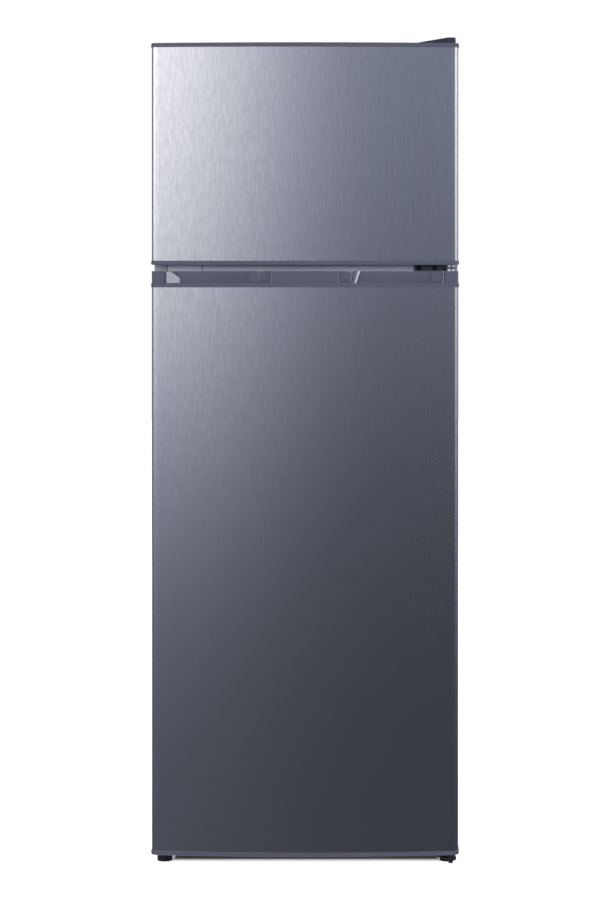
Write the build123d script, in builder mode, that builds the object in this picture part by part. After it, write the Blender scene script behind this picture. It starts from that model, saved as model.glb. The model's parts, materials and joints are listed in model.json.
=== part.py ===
"""Top freezer refrigerator with two bowed steel doors, hinged on the right.

Millimetres, +Z up, the doors face -Y, and the origin is on the floor at the centre of the plan.
"""
import os
from math import cos, radians, sin, sqrt

from build123d import *

# Cabinet
cabinet_width = 540.0
cabinet_depth = 466.0
cabinet_top = 1453.4  # above the floor
base_height = 32.0  # underside of the cabinet above the floor
sheet = 1.0  # painted steel sheet
corner_radius = 4.0  # along the cabinet's top edges
side_wall = 44.0
top_wall = 55.0
floor_wall = 45.0
fridge_back_wall = 45.0
freezer_back_wall = 60.0
middle_wall = 56.0  # between the two compartments
liner_wall = 2.0
liner_radius = 16.0
rail_depth = 18.0

# Compressor compartment, open at the back
machine_depth = 165.0
machine_height = 226.0
machine_wall = 38.0

# Doors
door_bow = 15.0  # how far the middle of a door stands ahead of its edges
door_thickness = 44.0  # at the edges
door_corner = 8.0
door_floor_gap = 24.0
fridge_door_height = 1027.0
door_gap = 11.0
door_top_reveal = 1.0  # of the freezer door's top below the cabinet's
seal_gap = 12.0  # from the back of a door to the cabinet
skin = 0.8
skin_flange = 14.0
lip_proud = 1.2
lip_height = 7.4
lip_edge = 1.5  # chamfer along the outside of a lip
cap_wall = 2.5
cap_skirt = 14.0
fit = 0.1  # between pieces that are pushed together
rest_gap = 0.3  # between pieces that only lie on each other
run_gap = 0.06  # round a pin or a shaft that turns
liner_inset = 6.0  # of the inner door panel from the door's edges
gasket_width = 14.0
gasket_land = 3.5  # from the compartment's edge
dyke_clear = 12.0  # from the compartment's walls
dyke_width = 20.0
dyke_depth = 28.0

# Finger grips between the doors, a mirrored pair on each door
grip_band = 21.0  # plain band of the lower door's cap above its lip
grip_inset = 26.5  # of the grip's outer end from the side of the door, at the front
grip_inner = 84.0  # of its inner end from the centre line
grip_splay = 20.0  # how much the end walls draw in towards the back
grip_lean = 6.0  # how much the end walls spread towards the floor of the grip
grip_depth = 22.0  # behind the edge of the door
grip_drop = 25.0  # of its floor below the lip
grip_recess = 3.5  # shallow landing beside the grip
grip_recess_inner = 60.0
grip_rim = 10.0  # flange of a grip cup round its mouth
pull_inset = 62.0  # the pockets under the upper door
pull_inner = 61.0
pull_height = 25.0

# Hinges
hinge_inset = 13.0  # of the pin from the side of the door
hinge_set = 22.0  # of the pin from the back of the door
pin_radius = 4.0
pin_length = 16.0
bush_radius = 7.0
bush_length = 14.0
bush_wall = 3.0
hinge_plate = 3.0
hinge_nose = 10.0  # radius of a hinge plate round its pin
hinge_cover_height = 10.3
hinge_cover_tail = 5.4  # height of its low end
hinge_cover_inset = 4.0  # from the cabinet's side
hinge_cover_wall = 1.6
screw_radius = 2.1
screw_head = 4.75
screw_head_height = 3.2
top_screw_side = 15.0  # of the top hinge's outer screws from its pin
top_screw_pitch = 18.0  # of its screws, and of the first from the cabinet's front
middle_screw_near = 27.0  # of the middle hinge's screws from its pin
middle_screw_far = 56.0
middle_flange = 17.0
blank_inset = 24.0  # of the unused hinge seat's blank from the cabinet's side
blank_width = 61.0
bracket_low = 11.0  # underside of the bottom hinge above the floor
bracket_width = 44.0

# Feet and rollers
foot_radius = 13.6
foot_height = 9.0
foot_inset = 18.0  # from the cabinet's side
foot_set = 7.0  # behind the cabinet's front
foot_collar = 1.5
stud_radius = 4.0
stud_rise = 6.0  # of the stud's end above the underside of the cabinet
nut_plate = 3.0  # welded under the base deck
roller_radius = 15.0
roller_width = 16.0
roller_inset = 45.0  # from the cabinet's side
roller_set = 34.0  # ahead of the cabinet's back
axle_radius = 3.0

# Refrigeration
condenser_stand_off = 30.0  # of the tube's centre from the cabinet's back
condenser_width = 430.0
condenser_rise = 87.0  # of its lowest run above the compressor compartment
condenser_reveal = 108.4  # of its highest run below the cabinet's top
condenser_runs = 11
tube_radius = 2.5
wire_radius = 0.9
wire_count = 20
compressor_length = 190.0
compressor_width = 128.0
compressor_height = 158.0
compressor_x = 35.0
pot_dome = 34.0  # rounding of the pot's top
pot_base = 20.0  # rounding of its underside
foot_plate_length = 172.0
foot_plate_width = 118.0
grommet_height = 14.0
grommet_across = 76.0  # of the mounts from the pot's middle, along it
grommet_along = 48.0  # the same, from front to back
machine_plate = 2.0
dryer_inset = 80.0  # of the filter dryer from the cabinet's side
dryer_length = 110.0
dryer_radius = 10.0
pan_length = 150.0
pan_width = 104.0
pan_height = 22.0
pan_wall = 1.8

# Inside
shelf_count = 3
shelf_first = 470.0
shelf_step = 165.0
shelf_glass = 4.0
shelf_depth = 290.0
ledge = 10.0
ledge_height = 9.0
crisper_height = 172.0
crisper_travel = 35.0
crisper_clear = 5.0  # left between the drawer, pulled out, and the bottle bin
tub_wall = 2.4
bin_depth = 78.0
bottle_bin_height = 120.0
door_bin_height = 72.0
bottle_bin_level = 112.0  # of its floor above the ground, and so on
middle_bin_level = 440.0
upper_bin_level = 700.0
bin_notch_inset = 30.0  # of the low back edge from the bin's ends
bin_lug = 8.0  # height of the lugs that carry a bin
freezer_bin_height = 42.0
wire_shelf_rise = 140.0  # above the freezer's floor

# Places that follow from the sizes above
half_width = cabinet_width / 2
overall_depth = (lip_proud + door_bow + door_thickness + seal_gap + cabinet_depth
                 + condenser_stand_off + tube_radius + 2 * wire_radius + run_gap)
apex_y = -overall_depth / 2 + lip_proud
edge_y = apex_y + door_bow
door_back_y = edge_y + door_thickness
front_y = door_back_y + seal_gap
back_y = front_y + cabinet_depth
panel_y = door_back_y + liner_wall  # inside face of the inner door panels
fridge_low = door_floor_gap
fridge_high = fridge_low + fridge_door_height
freezer_low = fridge_high + door_gap
freezer_high = cabinet_top - door_top_reveal
middle_z = (fridge_high + freezer_low) / 2
cavity_half = half_width - side_wall
fridge_floor = base_height + floor_wall
fridge_ceiling = middle_z - middle_wall / 2
freezer_floor = middle_z + middle_wall / 2
freezer_ceiling = cabinet_top - top_wall
fridge_back = back_y - fridge_back_wall
freezer_back = back_y - freezer_back_wall
machine_y = back_y - machine_depth
machine_top = base_height + machine_height
step_y = machine_y - machine_wall
step_z = machine_top + machine_wall
hinge_x = half_width - hinge_inset
hinge_y = door_back_y - hinge_set
bow_radius = ((half_width) ** 2 + door_bow ** 2) / (2 * door_bow)
foot_side = half_width - foot_inset
roller_side = half_width - roller_inset
condenser_low = machine_top + condenser_rise
condenser_high = cabinet_top - condenser_reveal
dryer_x = dryer_inset - half_width
blank_outer = half_width - blank_inset
grip_outer = half_width - grip_inset
pull_outer = half_width - pull_inset
skin_top = fridge_high - grip_band - cap_wall  # top edge of the lower door's skin
grip_floor = fridge_high - grip_band - grip_drop
freezer_dyke = (freezer_floor + dyke_clear, freezer_ceiling - dyke_clear)
fridge_dyke = (fridge_floor + dyke_clear, fridge_ceiling - dyke_clear)
bin_heights = (bottle_bin_height, door_bin_height, door_bin_height)
bin_levels = (bottle_bin_level, middle_bin_level, upper_bin_level)
freezer_bin_first = freezer_dyke[0] + dyke_width + bin_lug
freezer_bin_pitch = (freezer_dyke[1] - freezer_dyke[0]) / 2 - dyke_width
freezer_bin_levels = (freezer_bin_first, freezer_bin_first + freezer_bin_pitch)
wire_shelf_level = freezer_floor + wire_shelf_rise
crisper_front = panel_y + rest_gap + bin_depth + crisper_travel + crisper_clear
crisper_depth = step_y - liner_radius - crisper_front

os.makedirs("parts", exist_ok=True)


def keep(piece, name):
    """Labels a finished piece and writes its STEP file."""
    piece.part.label = name
    export_step(piece.part, f"parts/{name}.step")


def block(xs, ys, zs, mode=Mode.ADD):
    """Box between two corners, in the active part."""
    with Locations((sum(xs) / 2, sum(ys) / 2, sum(zs) / 2)):
        Box(xs[1] - xs[0], ys[1] - ys[0], zs[1] - zs[0], mode=mode)


def drill(points, depth):
    """Screw holes into the cabinet's front, in the active part."""
    with BuildSketch(upright(front_y)) as holes:
        with Locations(points):
            Circle(screw_radius + fit)
    extrude(holes.sketch, amount=-depth, mode=Mode.SUBTRACT)


def upright(y):
    """Plane that faces the front at y, on which a negative amount goes back."""
    return Plane.XZ.offset(-y)


def bow_y(x, grow):
    """Front of a door at x, on an arc that is grown outwards by grow."""
    return apex_y + bow_radius - sqrt((bow_radius + grow) ** 2 - x ** 2)


def door_plan(grow, back):
    """Plan of a door, grown outwards by grow and closed along a straight back."""
    half = half_width + grow
    with BuildSketch(mode=Mode.PRIVATE) as plan:
        with BuildLine():
            front = ThreePointArc(
                (-half, bow_y(half, grow)), (0, apex_y - grow), (half, bow_y(half, grow)))
            Polyline(front @ 1, (half, back), (-half, back), front @ 0)
        make_face()
        fillet(plan.vertices().filter_by(lambda corner: corner.Y < back - 1), door_corner + grow)
    return plan.sketch


def ring(outer, inner, low, high):
    """Upright wall between two plans, in the active part."""
    with BuildSketch(Plane.XY.offset(low)) as wall:
        add(outer)
        add(inner, mode=Mode.SUBTRACT)
    extrude(wall.sketch, amount=high - low)


def slab(plan, low, high, mode=Mode.ADD):
    """Plan raised from one level to another, in the active part."""
    with BuildSketch(Plane.XY.offset(low)) as outline:
        add(plan)
    extrude(outline.sketch, amount=high - low, mode=mode)


# Plans that the door pieces share
skin_plan = door_plan(0, door_back_y)
skin_hollow = door_plan(-skin, door_back_y - skin)
lip_plan = door_plan(lip_proud, door_back_y)
lip_hollow = door_plan(fit, door_back_y + lip_proud)
skirt_plan = door_plan(-skin - fit, door_back_y - skin - fit)
skirt_hollow = door_plan(-skin - fit - cap_wall, door_back_y - skin - fit - cap_wall)
band_hollow = door_plan(-cap_wall, door_back_y - cap_wall)


# Freezer compartment as a rounded block
with BuildPart() as freezer_space:
    with BuildSketch(upright(front_y)):
        with Locations((0, (freezer_floor + freezer_ceiling) / 2)):
            RectangleRounded(2 * cavity_half, freezer_ceiling - freezer_floor, liner_radius)
    extrude(amount=front_y - freezer_back)
    fillet(freezer_space.faces().sort_by(Axis.Y)[-1].edges(), liner_radius)


def fridge_profile(grow, rounded):
    """Side view of the fridge compartment with its step over the compressor, grown by grow.

    Either all its inner corners are rounded, or only the nose of the step.
    """
    low = fridge_floor - grow
    high = fridge_ceiling + grow
    step = (step_y + grow, step_z - grow)
    with BuildSketch(Plane.YZ) as profile:
        with BuildLine():
            Polyline(
                (front_y, low), (step[0], low), step, (fridge_back + grow, step[1]),
                (fridge_back + grow, high), (front_y, high), close=True)
        make_face()
        corners = profile.vertices().sort_by_distance((step[0], step[1], 0))
        if rounded:
            corners = corners.filter_by(lambda corner: corner.X > front_y + 1)
        else:
            corners = corners[:1]
        fillet(corners, liner_radius - grow)
    return profile.sketch


# Fridge compartment
with BuildPart() as fridge_space:
    extrude(fridge_profile(0, True), amount=cavity_half, both=True)
    sides = fridge_space.faces().filter_by(Axis.X).edges()
    fillet(sides.filter_by(lambda edge: edge.center().Y > front_y + 1), liner_radius - 2)

# Cabinet wrap of sheet steel with its front frame
frame_half = cavity_half + liner_wall
frame_high = freezer_ceiling + liner_wall
middle_screws = [(hinge_x - middle_screw_far, middle_z), (hinge_x - middle_screw_near, middle_z)]
bracket_screws = [(hinge_x - 24, base_height + 11), (hinge_x - 4, base_height + 11)]
screw_depth = 9.0  # of a screw behind the cabinet's front
hinge_screws = [
    (hinge_x - top_screw_side, front_y + top_screw_pitch), (hinge_x, front_y + 2 * top_screw_pitch),
    (hinge_x - top_screw_side, front_y + 3 * top_screw_pitch)]


def wrap_profile(inset, low):
    """Front view of the cabinet from a lower level up, drawn in by inset at the sides and the top."""
    half = half_width - inset
    high = cabinet_top - inset
    with BuildSketch(upright(front_y)) as profile:
        with Locations((0, (low + high) / 2)):
            Rectangle(2 * half, high - low)
        fillet(profile.vertices().group_by(Axis.Z)[-1], corner_radius - inset)
    return profile.sketch


with BuildPart() as cabinet_shell:
    extrude(wrap_profile(0, base_height), amount=-cabinet_depth)
    extrude(Pos(0, sheet, 0) * wrap_profile(sheet, base_height - 1), amount=-cabinet_depth, mode=Mode.SUBTRACT)
    block((-frame_half, frame_half), (front_y - 1, front_y + sheet + 1),
          (base_height - 1, frame_high), Mode.SUBTRACT)
    with Locations([(x, y, cabinet_top) for x, y in hinge_screws]):
        Cylinder(screw_radius + fit, 4 * sheet, mode=Mode.SUBTRACT)
    drill(middle_screws + bracket_screws, 2 * sheet)
keep(cabinet_shell, "cabinet_shell")

# Rear panel with two pressed ribs
with BuildPart() as back_panel:
    block((sheet - half_width, half_width - sheet), (back_y - sheet, back_y),
          (machine_top + sheet, cabinet_top - sheet))
    with BuildSketch(upright(back_y)):
        with Locations((0, cabinet_top - 60), (0, machine_top + 40)):
            SlotOverall(cabinet_width - 160, 16)
    extrude(amount=-1.5, taper=30)
keep(back_panel, "back_panel")

# Base deck: front rail, floor, compressor wall and compressor ceiling bent from one sheet
foot_y = front_y + foot_set
with BuildPart() as base_deck:
    with BuildSketch(Plane.YZ):
        with BuildLine():
            Polyline(
                (front_y, fridge_floor - liner_wall), (front_y, base_height), (machine_y, base_height),
                (machine_y, machine_top), (back_y, machine_top), (back_y, machine_top + sheet),
                (machine_y - sheet, machine_top + sheet), (machine_y - sheet, base_height + sheet),
                (front_y + sheet, base_height + sheet), (front_y + sheet, fridge_floor - liner_wall),
                close=True)
        make_face()
    extrude(amount=half_width - sheet, both=True)
    for side in (-1, 1):
        ends = sorted((side * frame_half, side * half_width))
        block(ends, (front_y - 1, front_y + sheet), (base_height - 1, fridge_floor + 1), Mode.SUBTRACT)
    with BuildSketch(Plane.XY.offset(base_height - nut_plate)):
        with Locations((-foot_side + 4, front_y + 16), (foot_side - 4, front_y + 16)):
            RectangleRounded(34, 30, 4)
    extrude(amount=nut_plate)
    with Locations((-foot_side, foot_y, base_height), (foot_side, foot_y, base_height)):
        Cylinder(stud_radius + rest_gap, 10, mode=Mode.SUBTRACT)
keep(base_deck, "base_deck")

# Rail between the compartments, a channel behind the gap of the doors
rail_low = fridge_ceiling + liner_wall
rail_high = freezer_floor - liner_wall
with BuildPart() as centre_rail:
    block((-frame_half, frame_half), (front_y, front_y + rail_depth), (rail_low, rail_high))
    block((sheet - frame_half, frame_half - sheet), (front_y + sheet, front_y + rail_depth + 1),
          (rail_low + sheet, rail_high - sheet), Mode.SUBTRACT)
    drill(middle_screws, rail_depth + 1)
keep(centre_rail, "centre_rail")

# Foamed insulation of the side walls, notched for the compressor
with BuildPart() as side_insulation:
    for side in (-1, 1):
        ends = sorted((side * frame_half, side * (half_width - sheet)))
        block(ends, (front_y + sheet, back_y - sheet), (base_height + sheet, cabinet_top - sheet))
        block(ends, (machine_y - sheet, back_y), (base_height, machine_top + sheet), Mode.SUBTRACT)
        with Locations((side * foot_side, foot_y, base_height)):
            Cylinder(stud_radius + 1, 2 * stud_rise + 2, mode=Mode.SUBTRACT)
    outer_edges = side_insulation.edges().filter_by(Axis.Y).group_by(Axis.Z)[-1].sort_by(Axis.X)
    fillet([outer_edges[0], outer_edges[-1]], corner_radius)
    drill(middle_screws + bracket_screws, screw_depth + 1)
keep(side_insulation, "side_insulation")

# Insulation between the side walls: top, middle, ceiling of the compressor compartment and floor
foam_xs = (-frame_half, frame_half)
foam_front = front_y + sheet
foam_back = back_y - sheet
with BuildPart() as deck_insulation:
    block(foam_xs, (foam_front, foam_back), (frame_high, cabinet_top - sheet))
    block(foam_xs, (front_y + rail_depth, foam_back), (rail_low, rail_high))
    block(foam_xs, (step_y + liner_wall, foam_back), (machine_top + sheet, step_z - liner_wall))
    nose = deck_insulation.edges().filter_by(Axis.X).sort_by_distance((0, step_y, step_z))[0]
    fillet(nose, liner_radius - liner_wall)
    block(foam_xs, (foam_front, machine_y - sheet), (base_height + sheet, fridge_floor - liner_wall))
    drill(middle_screws, screw_depth + 1)
keep(deck_insulation, "deck_insulation")

# Insulation of the rear walls and of the wall ahead of the compressor
with BuildPart() as rear_insulation:
    block(foam_xs, (freezer_back + liner_wall, foam_back), (rail_high, frame_high))
    block(foam_xs, (fridge_back + liner_wall, foam_back), (step_z - liner_wall, rail_low))
    block(foam_xs, (step_y + liner_wall, machine_y - sheet),
          (fridge_floor - liner_wall, machine_top + sheet))
keep(rear_insulation, "rear_insulation")

# Freezer liner
with BuildPart() as freezer_liner:
    block(foam_xs, (front_y, freezer_back + liner_wall), (rail_high, frame_high))
    add(freezer_space.part, mode=Mode.SUBTRACT)
    for side in (-1, 1):
        ends = sorted((side * (cavity_half - ledge), side * cavity_half))
        block(ends, (front_y + 90, freezer_back - liner_radius),
              (wire_shelf_level - ledge_height, wire_shelf_level))
keep(freezer_liner, "freezer_liner")

# Fridge liner with the shelf ledges moulded in
shelf_levels = [shelf_first + shelf_step * number for number in range(shelf_count)]
shelf_front = fridge_back - shelf_depth
crisper_low = fridge_floor + rest_gap
cover_level = crisper_low + crisper_height + 6
with BuildPart() as fridge_liner:
    extrude(fridge_profile(liner_wall, False), amount=frame_half, both=True)
    add(fridge_space.part, mode=Mode.SUBTRACT)
    for level in shelf_levels:
        for side in (-1, 1):
            ends = sorted((side * (cavity_half - ledge), side * cavity_half))
            block(ends, (shelf_front + 12, fridge_back - liner_radius), (level - ledge_height, level))
    for side in (-1, 1):
        ends = sorted((side * (cavity_half - ledge), side * cavity_half))
        block(ends, (shelf_front + 12, step_y - 20), (cover_level - ledge_height, cover_level))
keep(fridge_liner, "fridge_liner")


def door_skin(low, high):
    """Steel skin wrapped round the front and sides, with flanges at the back."""
    with BuildPart() as wrap:
        ring(skin_plan, skin_hollow, low, high)
        block((skin_flange - half_width, half_width - skin_flange), (door_back_y - 2 * skin, door_back_y + 1),
              (low - 1, high + 1), Mode.SUBTRACT)
    return wrap


def bush_boss(low, high, mode=Mode.ADD, radius=bush_radius + bush_wall):
    """Column round the hinge pin, in the active part."""
    with BuildSketch(Plane.XY.offset(low)) as disc:
        with Locations((hinge_x, hinge_y)):
            Circle(radius)
    extrude(disc.sketch, amount=high - low, mode=mode)


def plain_cap(edge, inward):
    """End cap with a proud lip; edge is its outside level and inward is +1 or -1."""
    plate = edge + inward * cap_wall
    with BuildPart() as cap:
        slab(lip_plan, edge, plate)
        ring(lip_plan, lip_hollow, plate, edge + inward * lip_height)
        ring(skirt_plan, skirt_hollow, plate, plate + inward * cap_skirt)
        bush_boss(plate, edge + inward * (bush_length + bush_wall))
        bush_boss(edge - inward, edge + inward * bush_length, Mode.SUBTRACT, bush_radius + fit)
        outside = cap.faces().filter_by(Axis.Z).sort_by(Axis.Z)[0 if inward > 0 else -1]
        chamfer(outside.outer_wire().edges().filter_by(lambda bit: bit.center().Y < door_back_y - 1), lip_edge)
    return cap


def pocket(outer, inner, mouth, floor, lean, grow, front):
    """Tapered finger pocket on the left of a door, grown outwards by grow.

    It runs from its mouth to its floor, and front is the plan that closes it towards the skin.
    """
    back = edge_y + grip_depth + grow
    ahead = apex_y - 20
    run = (back - edge_y) / grip_depth
    with BuildPart() as hollow:
        for level, spread in ((mouth, 0), (floor, lean)):
            with BuildSketch(Plane.XY.offset(level)):
                with BuildLine():
                    Polyline(
                        (-outer - grow - spread / 3, ahead), (-outer - grow - spread / 3, edge_y),
                        (-outer - grow - spread / 3 + grip_splay * run, back),
                        (-inner + grow + spread - grip_splay * run * 0.6, back),
                        (-inner + grow + spread, edge_y), (-inner + grow + spread, ahead), close=True)
                make_face()
        loft(ruled=True)
        low = min(mouth, floor) - 1
        with BuildSketch(Plane.XY.offset(low)):
            add(front)
        extrude(amount=abs(mouth - floor) + 2, mode=Mode.INTERSECT)
    return hollow.part


# Freezer door
freezer_skin = door_skin(freezer_low + cap_wall + fit, freezer_high - cap_wall - fit)
keep(freezer_skin, "freezer_door_skin")
freezer_top_cap = plain_cap(freezer_high, -1)
keep(freezer_top_cap, "freezer_door_top_cap")

pull_space = pocket(pull_outer, pull_inner, freezer_low - 1, freezer_low + pull_height, -2, 0, skirt_hollow)
pull_wall = pocket(pull_outer, pull_inner, freezer_low, freezer_low + pull_height + cap_wall, -2, cap_wall, skirt_plan)
freezer_bottom_cap = plain_cap(freezer_low, 1)
with freezer_bottom_cap:
    add(pull_wall)
    add(pull_wall.mirror(Plane.YZ))
    add(pull_space, mode=Mode.SUBTRACT)
    add(pull_space.mirror(Plane.YZ), mode=Mode.SUBTRACT)
keep(freezer_bottom_cap, "freezer_door_bottom_cap")

# Fridge door
fridge_skin = door_skin(fridge_low + cap_wall + fit, skin_top - fit)
keep(fridge_skin, "fridge_door_skin")
fridge_bottom_cap = plain_cap(fridge_low, 1)
keep(fridge_bottom_cap, "fridge_door_bottom_cap")

# Cap on top of the fridge door, with two openings that take the grip cups
lip_top = fridge_high - grip_band
grip_spread = grip_lean / 2
plate_low = fridge_high - cap_wall
open_front = door_plan(lip_proud + 5, door_back_y)
recess_plan = door_plan(-grip_recess, door_back_y)
cup_seat = pocket(grip_outer, grip_inner, fridge_high + 1, lip_top, grip_spread, cap_wall + fit, open_front)
rim_seat = pocket(grip_outer, grip_inner, fridge_high + 1, plate_low, 0, grip_rim + fit, open_front)
with BuildPart() as fridge_top_cap:
    ring(skin_plan, band_hollow, skin_top, plate_low)
    slab(skin_plan, plate_low, fridge_high)
    ring(lip_plan, lip_hollow, lip_top - lip_height, skin_top)
    ring(lip_plan, band_hollow, skin_top, lip_top)
    ring(skirt_plan, skirt_hollow, skin_top - cap_skirt, skin_top)
    bush_boss(fridge_high - bush_length - bush_wall, plate_low)
    for side in (-1, 1):
        ends = sorted((side * grip_recess_inner, side * grip_inner))
        block(ends, (apex_y + grip_recess, edge_y + grip_depth / 2), (lip_top, fridge_high))
    for side in (-1, 1):
        with BuildSketch(Plane.XY.offset(lip_top)):
            with Locations((side * (grip_recess_inner + grip_outer) / 2, apex_y)):
                Rectangle(grip_outer - grip_recess_inner, 60)
            add(recess_plan, mode=Mode.SUBTRACT)
        extrude(amount=grip_band + 1, mode=Mode.SUBTRACT)
    for seat in (cup_seat, rim_seat):
        add(seat, mode=Mode.SUBTRACT)
        add(seat.mirror(Plane.YZ), mode=Mode.SUBTRACT)
    bush_boss(fridge_high - bush_length, fridge_high + 1, Mode.SUBTRACT, bush_radius + fit)
keep(fridge_top_cap, "fridge_door_top_cap")

# Grip cups: open to the front above the lip and closed behind it below
cup_plan = door_plan(-skin - 2 * fit - cap_wall, door_back_y)
cup_front = door_plan(-skin - 2 * fit - 2 * cap_wall, door_back_y)
grip_above = pocket(grip_outer, grip_inner, fridge_high + 1, lip_top, grip_spread, 0, open_front)
grip_below = pocket(grip_outer, grip_inner, lip_top + 1, grip_floor, grip_spread, 0, cup_front)
with BuildPart() as grip_cup:
    add(pocket(grip_outer, grip_inner, fridge_high, plate_low, 0, grip_rim, cup_plan))
    add(pocket(grip_outer, grip_inner, fridge_high, lip_top - cap_wall, grip_spread, cap_wall, cup_plan))
    add(pocket(grip_outer, grip_inner, lip_top, grip_floor - cap_wall, grip_spread, cap_wall, cup_plan))
    add(grip_above, mode=Mode.SUBTRACT)
    add(grip_below, mode=Mode.SUBTRACT)
with BuildPart() as fridge_grips:
    add(grip_cup.part)
    add(grip_cup.part.mirror(Plane.YZ))
keep(fridge_grips, "fridge_door_grips")


def door_foam(low, high):
    """Foam that fills a door between its caps, skin and inner panel."""
    with BuildPart() as filling:
        slab(skirt_plan, low, high)
    return filling


freezer_foam_low = freezer_low + pull_height + 2 * cap_wall
freezer_foam_high = freezer_high - cap_wall - cap_skirt - 2
freezer_foam = door_foam(freezer_foam_low, freezer_foam_high)
keep(freezer_foam, "freezer_door_foam")
fridge_foam_low = fridge_low + cap_wall + cap_skirt + 2
fridge_foam = door_foam(fridge_foam_low, grip_floor - 2 * cap_wall)
keep(fridge_foam, "fridge_door_foam")


def door_liner(low, high, dyke_low, dyke_high, lugs):
    """Formed inner panel with a hollow raised dyke and lugs under the bins."""
    half = half_width - liner_inset
    dyke_half = cavity_half - dyke_clear
    dyke_mid = (dyke_low + dyke_high) / 2
    dyke_tall = dyke_high - dyke_low
    with BuildPart() as panel:
        with BuildSketch(upright(door_back_y)):
            with Locations((0, (low + high) / 2)):
                RectangleRounded(2 * half, high - low, 6)
        extrude(amount=-liner_wall)
        with BuildSketch(upright(door_back_y)):
            with Locations((0, dyke_mid)):
                RectangleRounded(2 * dyke_half, dyke_tall, 22)
                RectangleRounded(2 * (dyke_half - dyke_width), dyke_tall - 2 * dyke_width, 12,
                                 mode=Mode.SUBTRACT)
        extrude(amount=-(liner_wall + dyke_depth), taper=3)
        with BuildSketch(upright(door_back_y)):
            with Locations((0, dyke_mid)):
                RectangleRounded(2 * (dyke_half - liner_wall), dyke_tall - 2 * liner_wall, 20)
                RectangleRounded(2 * (dyke_half - dyke_width + liner_wall),
                                 dyke_tall - 2 * (dyke_width - liner_wall), 14, mode=Mode.SUBTRACT)
        extrude(amount=-dyke_depth, taper=3, mode=Mode.SUBTRACT)
        for level in lugs:
            for side in (-1, 1):
                inner = dyke_half - dyke_width
                ends = sorted((side * (inner - 7), side * (inner + 3)))
                block(ends, (panel_y, panel_y + dyke_depth - 4), (level - bin_lug, level))
    return panel


freezer_panel = door_liner(freezer_low + liner_inset, freezer_high - liner_inset,
                           freezer_dyke[0], freezer_dyke[1], freezer_bin_levels)
keep(freezer_panel, "freezer_door_liner")
fridge_panel = door_liner(fridge_low + liner_inset, fridge_high - liner_inset,
                          fridge_dyke[0], fridge_dyke[1], bin_levels)
keep(fridge_panel, "fridge_door_liner")


def gasket(low, high):
    """Magnetic seal: a foot on the door panel, a bellows and the magnet pocket."""
    half = cavity_half + gasket_land
    depth = seal_gap - liner_wall - rest_gap
    layers = ((0.25, 0), (0.35, 3.5), (0.4, 0))
    with BuildPart() as seal:
        start = panel_y
        for share, waist in layers:
            with BuildSketch(upright(start)):
                with Locations((0, (low + high) / 2)):
                    Rectangle(2 * (half + gasket_width - waist), high - low + 2 * (gasket_land + gasket_width - waist))
                    Rectangle(2 * (half + waist), high - low + 2 * (gasket_land + waist), mode=Mode.SUBTRACT)
            extrude(amount=-depth * share)
            start += depth * share
    return seal


freezer_gasket = gasket(freezer_floor, freezer_ceiling)
keep(freezer_gasket, "freezer_door_gasket")
fridge_gasket = gasket(fridge_floor, fridge_ceiling)
keep(fridge_gasket, "fridge_door_gasket")


def bush(edge, inward, stand):
    """Nylon bush in a cap, standing out by stand towards the hinge plate, in the active part."""
    bush_boss(edge - inward * stand, edge, radius=bush_radius + 1.5)
    bush_boss(edge, edge + inward * bush_length, radius=bush_radius)
    bush_boss(edge - inward * (stand + 1), edge + inward * (bush_length - 1), Mode.SUBTRACT,
              pin_radius + run_gap)


arm_low = middle_z - hinge_plate / 2
arm_high = middle_z + hinge_plate / 2
bracket_high = bracket_low + hinge_plate
collar_high = door_floor_gap - 4
with BuildPart() as freezer_bushes:
    bush(freezer_high, -1, 0.5)
    bush(freezer_low, 1, freezer_low - arm_high - rest_gap)
keep(freezer_bushes, "freezer_door_bushes")
with BuildPart() as fridge_bushes:
    bush(fridge_high, -1, arm_low - fridge_high - rest_gap)
    bush(fridge_low, 1, fridge_low - collar_high - rest_gap)
keep(fridge_bushes, "fridge_door_bushes")


def door_bin(level, height):
    """Open bin between the sides of the dyke, resting on its lugs."""
    half = cavity_half - dyke_clear - dyke_width - 2 - rest_gap
    low = level + rest_gap
    with BuildPart() as tray:
        with BuildSketch(Plane.XY.offset(low)):
            with Locations((0, panel_y + rest_gap + bin_depth / 2)):
                RectangleRounded(2 * half, bin_depth, 12)
        extrude(amount=height)
        fillet(tray.faces().sort_by(Axis.Z)[0].edges(), 5)
        offset(amount=-tub_wall, openings=tray.faces().sort_by(Axis.Z)[-1])
        with BuildSketch(upright(panel_y)):
            with Locations((0, low + height)):
                Rectangle(2 * (half - bin_notch_inset), height * 1.3)
        extrude(amount=-10, mode=Mode.SUBTRACT)
    return tray


for name, level, height in zip(("bottle_bin", "middle_bin", "upper_bin"), bin_levels, bin_heights):
    keep(door_bin(level, height), name)
for name, level in zip(("freezer_lower_bin", "freezer_upper_bin"), freezer_bin_levels):
    keep(door_bin(level, freezer_bin_height), name)

# Top hinge: plate on the cabinet with the pin of the freezer door
cover_left = hinge_x - 57
cover_right = half_width - hinge_cover_inset
cover_nose = cover_right - hinge_x
top_nose = cover_nose - hinge_cover_wall - 2 * rest_gap
with BuildPart() as top_hinge:
    with BuildSketch(Plane.XY.offset(cabinet_top)) as plate:
        with Locations((hinge_x - 9, front_y + 2 * top_screw_pitch)):
            RectangleRounded(28, 3 * top_screw_pitch, 4)
        with Locations((hinge_x, hinge_y)):
            Circle(top_nose)
        with Locations((hinge_x, (hinge_y + front_y + 20) / 2)):
            Rectangle(2 * top_nose, front_y + 20 - hinge_y)
        with Locations(hinge_screws):
            Circle(screw_radius + fit, mode=Mode.SUBTRACT)
    extrude(amount=hinge_plate)
    bush_boss(cabinet_top - pin_length + 3, cabinet_top, radius=pin_radius)
keep(top_hinge, "top_hinge")


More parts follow.
